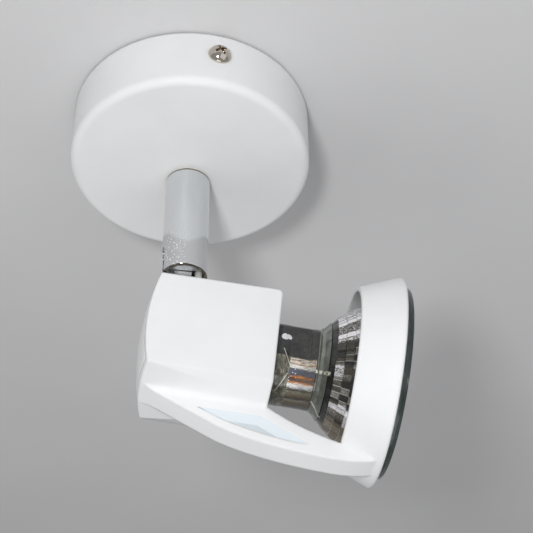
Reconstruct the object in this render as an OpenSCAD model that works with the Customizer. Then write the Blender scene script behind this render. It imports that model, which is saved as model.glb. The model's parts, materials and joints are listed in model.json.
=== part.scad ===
// Ceiling spotlight: a round cup on the ceiling, a chrome stem with a knuckle
// in its end, and a cast head that holds a twist-lock reflector lamp.
// Sizes are millimetres. The origin is the centre of the ceiling plane, Z
// points up, and the lamp looks along X.

/* [Ceiling cup] */
// Outer diameter of the cup
cup_d = 68.8; // [66:0.2:84]
// Depth of the cup
cup_h = 19.45; // [18.65:0.2:26]
// Thickness of the cup's wall
cup_wall = 1.2; // [0.8:0.1:1.6]
// Radius of the cup's rounded front edge
cup_edge_r = 2.2; // [1.8:0.1:3.4]
// Drop from the ceiling to the side screws
cup_screw_drop = 7.9; // [7.1:0.2:8.7]
// Turn of the side screws from the Y axis, in degrees
cup_screw_turn = 7.2; // [-15:0.1:15]
// Shank diameter of the side screws
cup_screw_d = 4; // [3:0.5:5]
// Head diameter of the side screws
cup_screw_head_d = 6.6; // [6.2:0.2:9]
// Height of the side screws' domed heads
cup_screw_head_h = 2.6; // [1.8:0.1:3.2]

/* [Ceiling strap] */
// Thickness of the strap's sheet
strap_t = 1.5; // [1:0.1:2]
// Width of the strap
strap_w = 17; // [15:0.5:20]
// Width of the ears that take the side screws
ear_w = 11; // [9:0.5:12]
// Length of the ears beyond the side screws
ear_tail = 4; // [3.5:0.5:5]
// Pitch circle of the two ceiling screw holes
strap_hole_pcd = 44; // [40:1:48]
// Diameter of the ceiling screw holes
strap_hole_d = 4.6; // [4:0.1:5.5]
// Diameter of the hole for the mains cable
cable_hole_d = 11; // [8:0.5:12]

/* [Mains terminals] */
// Pitch of the terminal poles
pole_pitch = 7.6; // [7:0.1:8]
// Depth of the terminal block along its poles
block_depth = 14; // [13:0.5:15]
// Height of the terminal block
block_h = 11; // [10:0.5:11.5]
// Distance from the stem's axis to the terminal block
block_offset = 13.6; // [13.4:0.1:14]
// Diameter of the brass tubes
pole_tube_d = 4.4; // [4:0.1:4.8]
// Diameter of the terminal screws
pole_screw_d = 2.6; // [2:0.1:3]

/* [Stem] */
// Shift of the stem from the cup's centre along Y
stem_shift = 5.2; // [0:0.2:6.4]
// Outer diameter of the stem tube
stem_d = 12.8; // [12.4:0.1:14]
// Length of the stem tube
stem_len = 36; // [34:1:90]
// Thickness of the stem tube's wall
stem_wall = 1; // [0.8:0.05:1.1]
// Outer diameter of the threaded nipple
nipple_d = 10; // [9.4:0.1:10.4]
// Bore of the nipple
nipple_bore = 7; // [6.4:0.1:7.2]
// Length of the nipple's collar inside the tube
collar_len = 9; // [7:0.5:10]
// Thickness of the thrust washer between the cup and the tube
thrust_t = 0.45; // [0.4:0.05:1]
// Thickness of the spring washer
spring_t = 0.8; // [0.5:0.1:1]
// Thickness of the stop washer
stop_t = 1; // [0.8:0.1:1.2]
// Radius at which the stop washer's tab meets the stop peg
stop_r = 11; // [10.6:0.1:11.4]
// Thickness of the stem nut
stem_nut_t = 4; // [3:0.5:4.5]
// Width across the flats of the stem nut
stem_nut_w = 14; // [13:0.5:14.5]

/* [Knuckle] */
// Distance from the tube's end up to the tilt axis
pivot_inset = 5; // [4.6:0.1:5.4]
// Width of the slot for the lug
slot_w = 5; // [4.6:0.1:5.2]
// Height of the slot in the tube's side
slot_h = 9.8; // [9:0.1:11]
// Diameter of the hinge pin
pin_d = 3; // [2.4:0.1:3.2]
// Width of the lug's shank
lug_w = 4.7; // [4.2:0.1:5]
// Radius of the lug's eye
lug_eye_r = 2.9; // [2.6:0.1:3.1]
// Distance from the tilt axis down to the lamp's axis
hinge_rise = 28.95; // [28:0.05:34]
// Distance from the tilt axis forward to the head's zero plane
hinge_back = 2.9; // [2.4:0.1:3.2]
// Tilt of the head below level at rest, in degrees
rest_tilt = 5.75; // [0:0.25:10]

/* [Housing] */
// Width of the housing
box_w = 25.6; // [25:0.1:28]
// Front face of the housing
box_front = 24; // [22:0.5:26]
// Top of the housing above the lamp's axis, at its rear end
box_top = 14; // [13.8:0.1:15]
// Rise of the housing's top towards the front, in degrees
box_top_rise = 1.6; // [0:0.1:2]
// Underside of the housing below the lamp's axis
box_floor = 15; // [14.6:0.1:16]
// Thickness of the housing's walls
box_wall = 1.5; // [1.2:0.1:1.6]
// Radius of the domed rear face
dome_r = 60; // [58:1:70]
// Room behind the holder's bracket, up to the rearmost point of the domed face
rear_room = 3.25; // [3.15:0.05:4]
// Radius of the housing's upper front corner
corner_r = 1.2; // [0.6:0.1:2]

/* [Arm] */
// Width of the fin and the arm
arm_w = 7; // [6:0.1:8]
// Fall of the housing's underside from its side edges to the fin
floor_fall = 1.05; // [0.6:0.05:1.4]
// Radius of the fillets between the housing's underside and the fin
fin_fillet_r = 1.7; // [1:0.1:2.5]
// Depth of the arm's lowest point below the lamp's axis
arm_drop = 28.8; // [28.6:0.05:29.6]
// Distance from the ring's rear edge back to the arm's lowest point
arm_low_back = 0.6; // [-1:0.1:2]
// Rear tip of the leaf-shaped recess
leaf_back = 5.5; // [4:0.5:8]
// Distance from the ring's rear edge back to the recess's front tip
leaf_front_back = 7.4; // [6.6:0.2:10]
// Place of the recess's upper corner along the lamp's axis
leaf_mid = 22.6; // [20:0.2:24]
// Depth of the recess's upper corner below the lamp's axis
leaf_top = 19.3; // [18.9:0.1:19.8]
// Lean of the recess's two sloping floors, in degrees
leaf_lean = 12; // [9:0.5:15]
// Depth of the recess's flat bottom
leaf_depth = 0.6; // [0.4:0.05:0.8]
// Rim left under the recess
leaf_rim = 2.6; // [2.2:0.1:3]

/* [Ring] */
// Length of the ring along the lamp's axis
ring_len = 11.15; // [10.4:0.05:11.6]
// How far the lamp stands out of the ring
rim_stand = 2.1; // [1.9:0.05:2.3]
// Outer radius of the ring's rear edge
ring_back_r = 23.8; // [23.5:0.1:24.5]
// Outer radius of the ring's front edge
ring_front_r = 28.1; // [27.9:0.1:28.6]
// Thickness of the ring's wall at its rear edge
ring_wall = 1.2; // [1:0.1:1.4]
// Radius of the ring's front lip
ring_lip_r = 0.6; // [0.3:0.1:0.8]

/* [Lamp] */
// Diameter of the lamp's front rim
lamp_d = 51.2; // [49.6:0.1:51.4]
// Thickness of the lamp's rim
rim_t = 2.6; // [2.2:0.1:2.7]
// Length from the lamp's front to the face of its base
lamp_len = 46.5; // [46:0.1:50]
// Diameter of the neck block
neck_d = 21.8; // [21:0.1:22]
// Width across the neck block's flat sides
neck_w = 18.6; // [17:0.1:19.4]
// Length of the bowl, from the lamp's front back to the neck block
bowl_len = 21.35; // [20.85:0.05:22.35]
// Thickness of the reflector's glass
glass_t = 1.4; // [1:0.1:1.6]
// Distance between the lamp's two pins
pin_pitch = 10; // [9.6:0.1:10.2]
// Diameter of the pins' heads
pin_head_d = 5; // [4.6:0.1:5.2]
// Length of the pins
pin_len = 7; // [6.6:0.1:7.1]
// Turn that unlocks the lamp, in degrees
lock_turn = 20; // [15:1:22]

/* [Lamp holder] */
// Distance from the lug's axis back to the rear face of the bracket's plate
plate_back = 5.05; // [5.05:0.05:5.6]
// Depth of the ceramic holder along the lamp's axis
holder_depth = 17; // [16.8:0.1:17.2]
// Room between the holder's sides and the lid's tongues
holder_room = 0.35; // [0.3:0.05:0.6]
// Height of the holder
holder_h = 14; // [13.6:0.1:14.2]
// Thickness of the bracket's sheet
bracket_t = 1; // [0.8:0.1:1.1]
// Diameter of the lug's threaded stud
stud_d = 4; // [3:0.5:4]
// Place of the leads' grommet in front of the head's zero plane
grommet_x = 6.6; // [6.4:0.1:7.4]
// Diameter of one insulated lead
lead_d = 1.8; // [1.4:0.1:2]
// Distance between the two leads
lead_pitch = 2.2; // [2.1:0.1:2.4]

/* [Hidden] */
$fn = 64;

white = "#f2f2f0";
chrome = "#b9bdc2";
zinc = "#a9adb0";
brass = "#c9a24a";
ceramic = "#e9e6dc";
glass = "#8f979b";

// Clearances
over = 0.5;          // how far a cut runs past the face that it opens
turn_fit = 0.08;     // radial clearance of a shaft that turns
snug = 0.05;         // radial clearance of pieces that sit in each other
part_gap = 0.3;      // gap between pieces of different bodies

// Cup, strap and swivel
cup_r = cup_d / 2;
cup_in_r = cup_r - cup_wall;
cup_floor_z = cup_wall - cup_h;
stem_r = stem_d / 2;
stem_in_r = stem_r - stem_wall;
stem_top_z = -cup_h - turn_fit - thrust_t;
stem_end_z = stem_top_z - stem_len;
nipple_r = nipple_d / 2;
spring_z = cup_floor_z + turn_fit;
stop_z = spring_z + spring_t;
stem_nut_z = stop_z + stop_t;
nipple_top_z = stem_nut_z + stem_nut_t + 2.6;
washer_r = stem_nut_w / 2 + 1.3;
tab_w = 3.2;
peg_d = 2.4;
peg_h = spring_t + stop_t + 1.2;
ear_face = sqrt(pow(cup_in_r - part_gap, 2) - pow(ear_w / 2, 2));
block_w = 3 * pole_pitch;
base_h = 0.55 * block_h;
pole_z = -strap_t - base_h * 0.55;
block_screw_r = 1.5;
block_screw_head_r = 2.2;
block_screw_head_h = 2;
lead_r = lead_d / 2;

// Knuckle
pivot_z = stem_end_z + pivot_inset;
block_r = stem_in_r - snug;
slot_top = pivot_inset + lug_eye_r * 2;
lug_t = slot_w - 2 * part_gap;
pin_r = pin_d / 2;
lead_x = stem_in_r - lead_r - 0.6;
hinge_block_h = slot_top + 6;
bend_z = stem_top_z - collar_len - 3;

// Chain of places along the lamp's axis, from the lug to the lamp's front
lug_x = -hinge_back;
bracket_x = lug_x - plate_back;
holder_rear = bracket_x + bracket_t;
holder_face = holder_rear + holder_depth;
base_face = holder_face + part_gap;
lamp_front = base_face + lamp_len;
neck_front = lamp_front - bowl_len;
neck_back = base_face + 9.2;
rim_back = lamp_front - rim_t;
ring_front = lamp_front - rim_stand;
ring_back = ring_front - ring_len;
arm_low_x = ring_back - arm_low_back;
leaf_front = ring_back - leaf_front_back;

// Housing
dome_back = rear_room - bracket_x;
dome_x = dome_r - dome_back;
dome_z = 0.5;
seat_z = box_top + 0.6;
pad_z = box_top - box_wall - 0.4;
seat_r = 5.4;
lid_gap = 0.15;
inner_w = box_w - 2 * box_wall;
rest_x = 3.6 - dome_back;
tongue_len = 6;
tongue_t = 1;
tongue_h = 12;
holder_w = inner_w - 2 * (lid_gap + tongue_t + holder_room);
bracket_w = 12;
grommet_r = lead_pitch / 2 + lead_r + 0.6;
flange_r = grommet_r + 0.7;
flange_t = 0.8;
lug_washer_t = 0.6;
lug_washer_r = plate_back - bracket_t - 0.15;
lug_nut_t = 3;
lug_nut_w = 6.8;
nut_end_z = pad_z - bracket_t - lug_washer_t - lug_nut_t;
lug_foot_t = 1.5;

// Lamp and holder
lamp_r = lamp_d / 2;
skin_t = 2.2;
plug_inset = 2.4;
plug_flat_inset = 2.2;
plug_play = 0.1;
plug_len = 3.2;
pin_root = 2.5;
pocket_rear = base_face - pin_len - 0.8;
pin_shank_d = 2.9;
pin_head_t = 2.2;
screw_z = 4.2;
screw_r = 1.5;
screw_head_d = 5;
screw_head_h = 1.2;
screw_reach = 5;
contact_x = pocket_rear;
contact_t = 0.5;
contact_top = holder_h / 2 - 2.2;
capsule_r = 4.4;
capsule_wall = 0.8;
post_r = capsule_r - 1.4;
post_len = 9;
capsule_end = neck_front + 7;
bulb_back = neck_back + post_len - 4;
wire_r = 0.35;
wire_pitch = 2.8;
coil_r = 0.7;
coil_len = 4;
coil_x = capsule_end - capsule_r - 1.6;
cover_r = lamp_r - 0.95;
cover_t = 1.2;
bowl_start_r = neck_d / 2 + 0.1;
bowl_end = rim_back - 0.2;
bowl_end_r = lamp_r - 0.8;
bowl_curve = 0.22;
bowl_depth = bowl_end - neck_front;
bowl_slope = (pow(bowl_end_r, 2) - pow(bowl_start_r, 2)) / bowl_depth - bowl_curve * bowl_depth;

function top_z(x) = box_top + (x + dome_back) * tan(box_top_rise);
function arc(cx, cy, r, a0, a1, n) =
    [for (i = [0 : n]) [cx + r * cos(a0 + (a1 - a0) * i / n), cy + r * sin(a0 + (a1 - a0) * i / n)]];
function bezier(a, b, c, d, n) =
    [for (i = [0 : n]) let (t = i / n, s = 1 - t)
        s * s * s * a + 3 * s * s * t * b + 3 * s * t * t * c + t * t * t * d];
function bowl_r(x) = let (t = x - neck_front)
    sqrt(pow(bowl_start_r, 2) + bowl_slope * t + bowl_curve * t * t);

// Lower edge of the fin and the arm: a straight tail, then a curve down to
// the lowest point and a short one up into the ring's lip
knee = [11, 4.7 - arm_drop];
tail_slope = 0.427;
tail = [-dome_back - 1, knee[1] + tail_slope * (knee[0] + dome_back + 1)];
low = [arm_low_x, -arm_drop];
arm_end = [ring_front - 1.2, 1 - ring_front_r];
belly = bezier(knee, knee + [6, -2.5], low + [-13, 0.15], low, 16);
chin = bezier(low, low + [4.5, 0], arm_end - [2, 0.9], arm_end, 8);
leaf_tip = [leaf_back, -leaf_top - 0.3];
leaf_end = [leaf_front, 0.6 - arm_drop + leaf_rim];
leaf_apex = [leaf_mid, -leaf_top];

// Fillet between the housing's sloping underside and the fin
fall_angle = atan(floor_fall / ((box_w - arm_w) / 2));
fillet_y = arm_w / 2 + fin_fillet_r;
fillet_z = -box_floor - tan(fall_angle) * (box_w / 2 - fillet_y) - fin_fillet_r / cos(fall_angle);

// Ring turned about the X axis, from a profile of [radius, x] points
module turned_x() {
    rotate([90, 0, 90])
        rotate_extrude()
            children();
}

// Cylinder along X from x0 to x1
module rod_x(r, x0, x1) {
    translate([x0, 0, 0])
        rotate([0, 90, 0])
            cylinder(r = r, h = x1 - x0);
}

// Round lead along a list of points, with a ball that swells a little at each bend
module lead(points) {
    for (i = [0 : len(points) - 2]) {
        d = points[i + 1] - points[i];
        translate(points[i])
            rotate([0, acos(d[2] / norm(d)), atan2(d[1], d[0])]) {
                cylinder(r = lead_r, h = norm(d));
                if (i > 0)
                    sphere(r = lead_r + 0.1);
            }
    }
}

// Moves a piece from the cup's centre line to the stem's
module at_stem() {
    translate([0, stem_shift, 0])
        children();
}

module in_head() {
    translate([0, stem_shift, pivot_z])
        rotate([0, rest_tilt, 0])
            translate([hinge_back, 0, -hinge_rise])
                children();
}

// Along the line of the two side screws, looking outwards
module along_screws() {
    for (side = [0, 180])
        rotate([0, 0, side + cup_screw_turn - 90])
            children();
}

// Ceiling parts

module ceiling_strap() color(zinc)
    difference() {
        union() {
            intersection() {
                translate([0, 0, -strap_t])
                    cylinder(r = cup_in_r - part_gap, h = strap_t);
                along_screws()
                    translate([0, -strap_w / 2, -strap_t])
                        cube([ear_face, strap_w, strap_t]);
            }
            along_screws()
                translate([ear_face - strap_t, -ear_w / 2, -cup_screw_drop - ear_tail])
                    cube([strap_t, ear_w, cup_screw_drop + ear_tail]);
            translate([0, -pole_pitch, -strap_t])
                cube([block_offset + block_depth * 0.75, 2 * pole_pitch, strap_t]);
        }
        along_screws() {
            translate([strap_hole_pcd / 2, 0, -strap_t - over])
                cylinder(d = strap_hole_d, h = strap_t + 2 * over);
            translate([0, 0, -cup_screw_drop])
                rod_x(cup_screw_d / 2, ear_face - strap_t - over, ear_face + over);
        }
        translate([0, 0, -strap_t - over])
            cylinder(d = cable_hole_d, h = strap_t + 2 * over);
        translate([block_offset + block_depth / 2, pole_pitch / 2, -strap_t - over])
            cylinder(r = block_screw_r, h = strap_t + 2 * over);
        rotate([0, 0, cup_screw_turn + 90])
            translate([(cable_hole_d + strap_hole_pcd) / 4, 0, -strap_t - over])
                cylinder(r = 2, h = strap_t + 2 * over);
    }

module cup_outline(r, h, edge) {
    square([r - edge, h]);
    square([r, h - edge]);
    translate([r - edge, h - edge])
        circle(r = edge);
}

module ceiling_cup() color(white)
    difference() {
        mirror([0, 0, 1])
            rotate_extrude()
                difference() {
                    cup_outline(cup_r, cup_h, cup_edge_r);
                    translate([0, -over])
                        cup_outline(cup_in_r, cup_h - cup_wall + over, cup_edge_r - cup_wall + 0.2);
                }
        at_stem()
            translate([0, 0, -cup_h - over])
                cylinder(r = nipple_r + turn_fit, h = cup_wall + 2 * over);
        along_screws()
            translate([0, 0, -cup_screw_drop])
                rod_x(cup_screw_d / 2 + 0.2, cup_in_r - 2, cup_r + over);
    }

// Domed head whose flat side lies on the plane x = 0, looking along X
module dome_head(d, h) {
    ball_r = (d * d / 4 + h * h) / (2 * h);
    rotate([0, 90, 0])
        rotate_extrude()
            intersection() {
                translate([0, h - ball_r])
                    circle(r = ball_r);
                square([d, h + 1]);
            }
}

module cup_screws() color(chrome)
    along_screws()
        translate([0, 0, -cup_screw_drop]) {
            translate([cup_r, 0, 0])
                dome_head(cup_screw_head_d, cup_screw_head_h);
            rod_x(cup_screw_d / 2, ear_face - strap_t - 2.5, cup_r + 1);
        }

module earth_screw() color(brass)
    rotate([0, 0, cup_screw_turn + 90])
        translate([(cable_hole_d + strap_hole_pcd) / 4, 0, -strap_t]) {
            translate([0, 0, -2.2])
                cylinder(r = 3.6, h = 2.2);
            cylinder(r = 2, h = strap_t);
            translate([0, 0, -4.4])
                cylinder(r = 2, h = 4.4);
        }

module at_poles() {
    for (i = [-1 : 1])
        translate([block_offset, i * pole_pitch, 0])
            children();
}

module terminal_block() color("#e8e8e2")
    difference() {
        union() {
            translate([block_offset, -block_w / 2, -strap_t - base_h])
                cube([block_depth, block_w, base_h]);
            at_poles()
                translate([block_depth * 0.14, -pole_pitch * 0.4, -strap_t - block_h])
                    cube([block_depth * 0.72, pole_pitch * 0.8, block_h]);
        }
        at_poles() {
            translate([0, 0, pole_z])
                rod_x(pole_tube_d / 2, -over, block_depth + over);
            for (x = [0.32, 0.68])
                translate([block_depth * x, 0, -strap_t - block_h - over])
                    cylinder(d = pole_screw_d + 1, h = block_h + over - base_h * 0.55);
        }
        translate([block_offset + block_depth / 2, pole_pitch / 2, -strap_t - block_h - over]) {
            cylinder(r = block_screw_r, h = block_h + 2 * over);
            cylinder(r = block_screw_head_r + 0.1, h = block_h - base_h + over);
        }
    }

module terminal_tubes() color(brass)
    at_poles()
        difference() {
            translate([0, 0, pole_z])
                rod_x(pole_tube_d / 2 - snug, 1, block_depth - 1);
            translate([0, 0, pole_z])
                rod_x(pole_tube_d / 2 - 0.9, 0, block_depth);
            for (x = [0.32, 0.68])
                translate([block_depth * x, 0, pole_z - pole_tube_d])
                    cylinder(d = pole_screw_d, h = pole_tube_d);
        }

module terminal_screws() color(zinc)
    at_poles()
        for (x = [0.32, 0.68])
            translate([block_depth * x, 0, -strap_t - block_h + 1])
                cylinder(d = pole_screw_d, h = block_h - 1 - base_h * 0.55 - 0.6);

module block_screw() color(zinc)
    translate([block_offset + block_depth / 2, pole_pitch / 2, -strap_t - base_h]) {
        translate([0, 0, -block_screw_head_h])
            cylinder(r = block_screw_head_r, h = block_screw_head_h);
        cylinder(r = block_screw_r, h = base_h + strap_t);
    }

module stop_peg() color(zinc)
    translate([-stop_r, stem_shift, cup_floor_z])
        cylinder(d = peg_d, h = peg_h);

module cup_leads() color("#6d4a32")
    for (side = [-1, 1])
        lead([
            [block_offset + 2.5, (side - 1) / 2 * pole_pitch, pole_z],
            [block_offset - 3, (side - 1) / 2 * pole_pitch, pole_z],
            [2 + side, stem_shift + side * lead_pitch / 2, pole_z + 0.6],
            [0, stem_shift + side * lead_pitch / 2, nipple_top_z + 1 + 3 * part_gap]
        ]);

module earth_lead() color("#7f9a3c") {
    r = (cable_hole_d + strap_hole_pcd) / 4;
    a = cup_screw_turn + 90;
    lead([
        [block_offset + 2.5, pole_pitch, pole_z],
        [block_offset - 2, pole_pitch, pole_z],
        [r * cos(a) + 3.75, r * sin(a) - 1.15, -strap_t - lead_r - 0.05]
    ]);
}

// Stem parts

module stem_tube() color(chrome)
    at_stem()
        difference() {
            translate([0, 0, stem_end_z])
                rotate_extrude()
                    polygon([
                        [stem_in_r, 0], [stem_r - 0.3, 0], [stem_r, 0.3],
                        [stem_r, stem_len - 0.3], [stem_r - 0.3, stem_len], [stem_in_r, stem_len]
                    ]);
            translate([-stem_r - over, -slot_w / 2, stem_end_z - over])
                cube([stem_r + over, slot_w, slot_h - slot_w / 2 + over]);
            translate([0, 0, stem_end_z + slot_h - slot_w / 2])
                rod_x(slot_w / 2, -stem_r - over, 0);
        }

module stem_nipple() color(zinc)
    at_stem()
        difference() {
            union() {
                translate([0, 0, stem_top_z - collar_len])
                    cylinder(r = nipple_r, h = nipple_top_z - stem_top_z + collar_len);
                translate([0, 0, stem_top_z - collar_len])
                    cylinder(r = stem_in_r - snug, h = collar_len);
            }
            translate([0, 0, stem_top_z - collar_len - over])
                cylinder(d = nipple_bore, h = nipple_top_z - stem_top_z + collar_len + 2 * over);
        }

module washer(z, r_out, r_in, t) {
    translate([0, 0, z])
        difference() {
            cylinder(r = r_out, h = t);
            translate([0, 0, -over])
                cylinder(r = r_in, h = t + 2 * over);
        }
}

module thrust_washer() color("#f5f5f0")
    at_stem()
        washer(stem_top_z, stem_r - 0.35, nipple_r + snug, thrust_t);

module spring_washer() color(zinc)
    at_stem()
        washer(spring_z, washer_r, nipple_r + snug, spring_t);

module stop_washer() color(zinc)
    at_stem() {
        washer(stop_z, washer_r, nipple_r + snug, stop_t);
        translate([washer_r - 1, -tab_w / 2, stop_z])
            cube([stop_r + 1.5 - washer_r + 1, tab_w, stop_t]);
    }

module hex_nut(w, bore_r, t) {
    difference() {
        cylinder(d = w / cos(30), h = t, $fn = 6);
        translate([0, 0, -over])
            cylinder(r = bore_r, h = t + 2 * over);
    }
}

module stem_nut() color(zinc)
    translate([0, stem_shift, stem_nut_z])
        hex_nut(stem_nut_w, nipple_r, stem_nut_t);

module hinge_block() color(zinc)
    at_stem()
        difference() {
            translate([0, 0, stem_end_z + 0.8])
                cylinder(r = block_r, h = hinge_block_h);
            translate([-block_r - over, -slot_w / 2, stem_end_z])
                cube([2 * (block_r + over), slot_w, slot_top]);
            translate([0, stem_r, pivot_z])
                rotate([90, 0, 0])
                    cylinder(r = pin_r, h = stem_d);
            translate([lead_x, 0, stem_end_z])
                lead_hole(hinge_block_h + 1, snug);
        }

module hinge_pin() color(zinc)
    translate([0, stem_shift + block_r - 0.3, pivot_z])
        rotate([90, 0, 0])
            cylinder(r = pin_r, h = 2 * (block_r - 0.3));

module stem_leads() color("#d9d4c7")
    at_stem()
        for (side = [-1, 1])
            lead([
                [lead_x, side * lead_pitch / 2, stem_end_z + 0.3],
                [lead_x, side * lead_pitch / 2, stem_end_z + hinge_block_h + 2],
                [0, side * lead_pitch / 2, bend_z],
                [0, side * lead_pitch / 2, nipple_top_z + 1]
            ]);

// Head parts, drawn in the head's own frame: X is the lamp's axis

module hinge_lug() color(zinc)
    in_head()
        difference() {
            union() {
                translate([lug_x, lug_t / 2, hinge_rise])
                    rotate([90, 0, 0])
                        cylinder(r = lug_eye_r, h = lug_t);
                translate([lug_x - lug_w / 2, -lug_t / 2, seat_z + 1])
                    cube([lug_w, lug_t, hinge_rise - seat_z - 1]);
                translate([lug_x, 0, seat_z])
                    cylinder(r = seat_r - 0.6, h = lug_foot_t);
                translate([lug_x, 0, nut_end_z])
                    cylinder(d = stud_d, h = seat_z - nut_end_z + 1);
            }
            translate([lug_x, stem_r, hinge_rise])
                rotate([90, 0, 0])
                    cylinder(r = pin_r + turn_fit, h = stem_d);
        }

module lug_washer() color(zinc)
    in_head()
        translate([lug_x, 0, 0])
            washer(pad_z - bracket_t - lug_washer_t, lug_washer_r, stud_d / 2 + snug, lug_washer_t);

module lug_nut() color(zinc)
    in_head()
        translate([lug_x, 0, nut_end_z])
            rotate([0, 0, 30])
                hex_nut(lug_nut_w, stud_d / 2 + 0.01, lug_nut_t);

// Side outline of the housing, or of its hollow when inset by the wall
module box_side(inset, front) {
    x0 = -dome_back - over;
    r = inset > 0 ? 0.3 : corner_r;
    z1 = top_z(front - r) - inset;
    polygon(concat(
        [[x0, inset - box_floor], [front, inset - box_floor]],
        arc(front - r, z1 - r, r, 0, 90, 6),
        [[x0, top_z(x0) - inset]]
    ));
}

// Extrusion along Y, centred on the head's plane of symmetry
module slab_y(w) {
    rotate([90, 0, 0])
        linear_extrude(height = w, center = true)
            children();
}

// Extrusion along X of a shape drawn in the YZ plane
module slab_x(x0, x1) {
    translate([x0, 0, 0])
        rotate([90, 0, 90])
            linear_extrude(height = x1 - x0)
                children();
}

module dome_ball(r) {
    translate([dome_x, 0, dome_z])
        sphere(r = r, $fn = 128);
}

// Side outline of the fin and the arm
module arm_side() {
    polygon(concat(
        [tail],
        belly,
        [for (i = [1 : len(chin) - 1]) chin[i]],
        [arm_end + [0, 0.6], [ring_back + 0.4, 0.6 - ring_back_r]],
        bezier([ring_back + 0.2, -ring_back_r], [box_front + 12, -22.2], [box_front + 4.7, -19.4],
            [box_front, -16.4], 10),
        [[box_front - 1, 2 - box_floor], [tail[0], 2 - box_floor]]
    ));
}

// Shallow V of the housing's underside, drawn in the YZ plane
module floor_section() {
    y = box_w / 2;
    z = -box_floor - floor_fall;
    polygon([
        [-y, 0.5 - box_floor], [y, 0.5 - box_floor], [y, -box_floor],
        [arm_w / 2, z], [-arm_w / 2, z], [-y, -box_floor]
    ]);
}

// Fillets that join the underside to the fin
module fillet_section() {
    y = fillet_y - fin_fillet_r * sin(fall_angle);
    z = fillet_z + fin_fillet_r * cos(fall_angle);
    difference() {
        polygon([[-y, z], [y, z], [arm_w / 2, fillet_z], [-arm_w / 2, fillet_z]]);
        for (side = [-1, 1])
            translate([side * fillet_y, fillet_z])
                circle(r = fin_fillet_r);
    }
}

// Side outline of the leaf-shaped recess: its lower edge follows the belly
module leaf_side() {
    polygon(concat(
        [leaf_tip],
        [for (p = belly) if (p[0] > leaf_back + 1 && p[0] < leaf_front - 1) p + [0, leaf_rim]],
        [leaf_end, leaf_apex]
    ));
}

// Everything outside a floor that starts on the line from a to b, on the
// arm's face, and sinks below that line
module above_floor(a, b) {
    reach = 60;
    translate([a[0], arm_w / 2, a[1]])
        rotate([-leaf_lean, -atan2(b[1] - a[1], b[0] - a[0]), 0])
            translate([-reach, 0, -reach])
                cube([2 * reach, reach, 2 * reach]);
}

module leaf_cut() {
    for (side = [0, 1])
        mirror([0, side, 0])
            intersection() {
                translate([0, arm_w / 2 + (over - leaf_depth) / 2, 0])
                    slab_y(over + leaf_depth) leaf_side();
                above_floor(leaf_tip, leaf_apex);
                above_floor(leaf_apex, leaf_end);
            }
}

module ring_side() {
    ring_in_r = lamp_r + part_gap + 0.1;
    polygon(concat(
        [[ring_back_r - ring_wall, ring_back], [ring_back_r, ring_back]],
        arc(ring_front_r - ring_lip_r, ring_front - ring_lip_r, ring_lip_r, 0, 90, 6),
        [[ring_in_r, ring_front], [ring_in_r, ring_front - 1.2]]
    ));
}

// Small rests on the side walls that the lid's edge stops against
module lid_rests() {
    for (side = [-1, 1])
        for (z = [-10.5, 7.5])
            translate([rest_x, side * (inner_w / 2 - 0.4) - 0.6, z])
                cube([1.2, 1.2, 3]);
}

// Leads' way through a wall or a block: two round holes run into one
module lead_hole(h, gap) {
    for (side = [-1, 1])
        translate([0, side * lead_pitch / 2, 0])
            cylinder(r = lead_r + gap, h = h);
    translate([-lead_r - gap, -lead_pitch / 2, 0])
        cube([2 * (lead_r + gap), lead_pitch, h]);
}

module at_grommet() {
    translate([grommet_x, 0, top_z(grommet_x)])
        rotate([0, -box_top_rise, 0])
            children();
}

module head_casting() color(white)
    in_head()
        difference() {
            union() {
                difference() {
                    intersection() {
                        union() {
                            slab_y(box_w) box_side(0, box_front);
                            slab_y(arm_w) arm_side();
                            slab_x(tail[0], box_front) floor_section();
                            intersection() {
                                slab_y(2 * fillet_y) arm_side();
                                slab_x(tail[0], box_front) fillet_section();
                            }
                        }
                        dome_ball(dome_r);
                    }
                    slab_y(inner_w) box_side(box_wall, box_front + 10);
                    leaf_cut();
                }
                translate([lug_x, 0, box_top - 1])
                    cylinder(r = seat_r, h = seat_z - box_top + 1);
                translate([lug_x, 0, pad_z])
                    cylinder(r = seat_r - 0.4, h = box_top - pad_z - 0.5);
                lid_rests();
                turned_x() ring_side();
            }
            translate([lug_x, 0, pad_z - over])
                cylinder(r = stud_d / 2 + snug, h = seat_z - pad_z + 2 * over);
            at_grommet()
                translate([0, 0, -box_wall - over])
                    cylinder(r = grommet_r + snug, h = box_wall + 2 * over);
        }

module rear_lid() color(white)
    in_head() {
        difference() {
            intersection() {
                slab_y(inner_w - 2 * lid_gap) box_side(box_wall + lid_gap, box_front);
                dome_ball(dome_r);
            }
            dome_ball(dome_r - box_wall);
        }
        for (side = [-1, 1])
            translate([
                -dome_back + box_wall + 0.6,
                side * (inner_w - 2 * lid_gap - tongue_t) / 2 - tongue_t / 2, -tongue_h / 2
            ])
                cube([tongue_len, tongue_t, tongue_h]);
    }

module holder_bracket() color(zinc)
    in_head()
        difference() {
            union() {
                translate([bracket_x, -bracket_w / 2, pad_z - bracket_t])
                    cube([lug_x + seat_r - 0.8 - bracket_x, bracket_w, bracket_t]);
                translate([bracket_x, -bracket_w / 2, -holder_h / 2 + 1])
                    cube([bracket_t, bracket_w, pad_z + holder_h / 2 - 1]);
            }
            translate([lug_x, 0, pad_z - bracket_t - over])
                cylinder(r = stud_d / 2 + snug, h = bracket_t + 2 * over);
            for (z = [-screw_z, screw_z])
                translate([0, 0, z])
                    rod_x(screw_r + snug, bracket_x - over, holder_rear + over);
        }

module holder_screws() color(zinc)
    in_head()
        for (z = [-screw_z, screw_z])
            translate([bracket_x, 0, z]) {
                mirror([1, 0, 0])
                    dome_head(screw_head_d, screw_head_h);
                rod_x(screw_r, -screw_head_h / 2, bracket_t + screw_reach);
            }

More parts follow.
